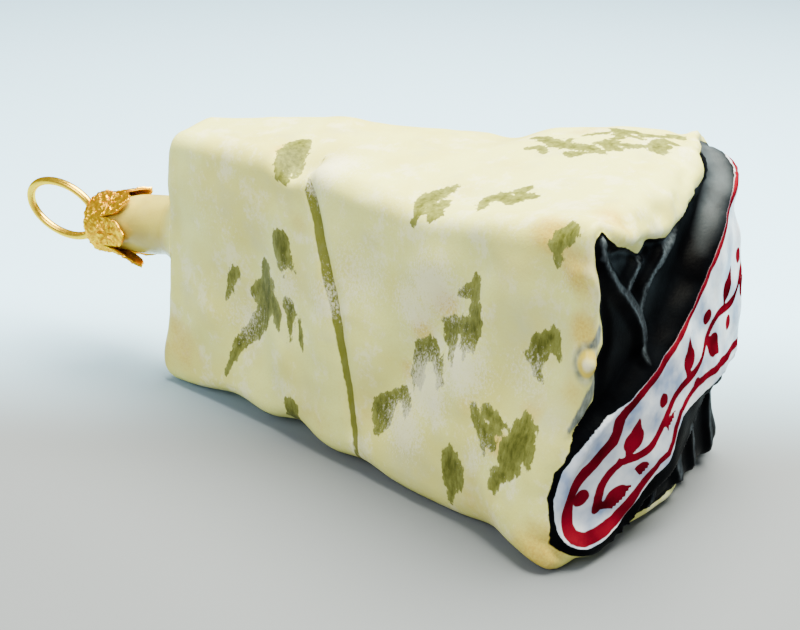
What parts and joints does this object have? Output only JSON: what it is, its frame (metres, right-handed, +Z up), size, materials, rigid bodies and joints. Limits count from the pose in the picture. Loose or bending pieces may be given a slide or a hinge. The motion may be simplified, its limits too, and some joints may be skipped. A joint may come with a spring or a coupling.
{
  "type": "glass cheese wedge tree ornament",
  "caption": "Blown-glass tree ornament shaped as a painted wedge of blue cheese in a dark wrapper with a banded rind, with a gilded crown cap and a wire hanging loop.",
  "frame": {"origin": "middle of the flat underside, on the plane the wedge rests on", "axes": "+X from the thin end towards the rind, +Y away from the painted cut face with the seam, +Z up; the neck, cap and loop reach towards -X"},
  "size_m": [0.1195, 0.0484, 0.0495],
  "materials": {
    "painted_glass": "cream lacquer with mottled blue-green marks, a black wrapper and a white and red band",
    "gilded_sheet": "embossed and gilded, semi-gloss",
    "brass_wire": "bright drawn wire"
  },
  "bodies": {
    "root": {"glass_wedge": "painted_glass", "crown_cap": "gilded_sheet", "wire_loop": "brass_wire"}
  },
  "joints": []
}
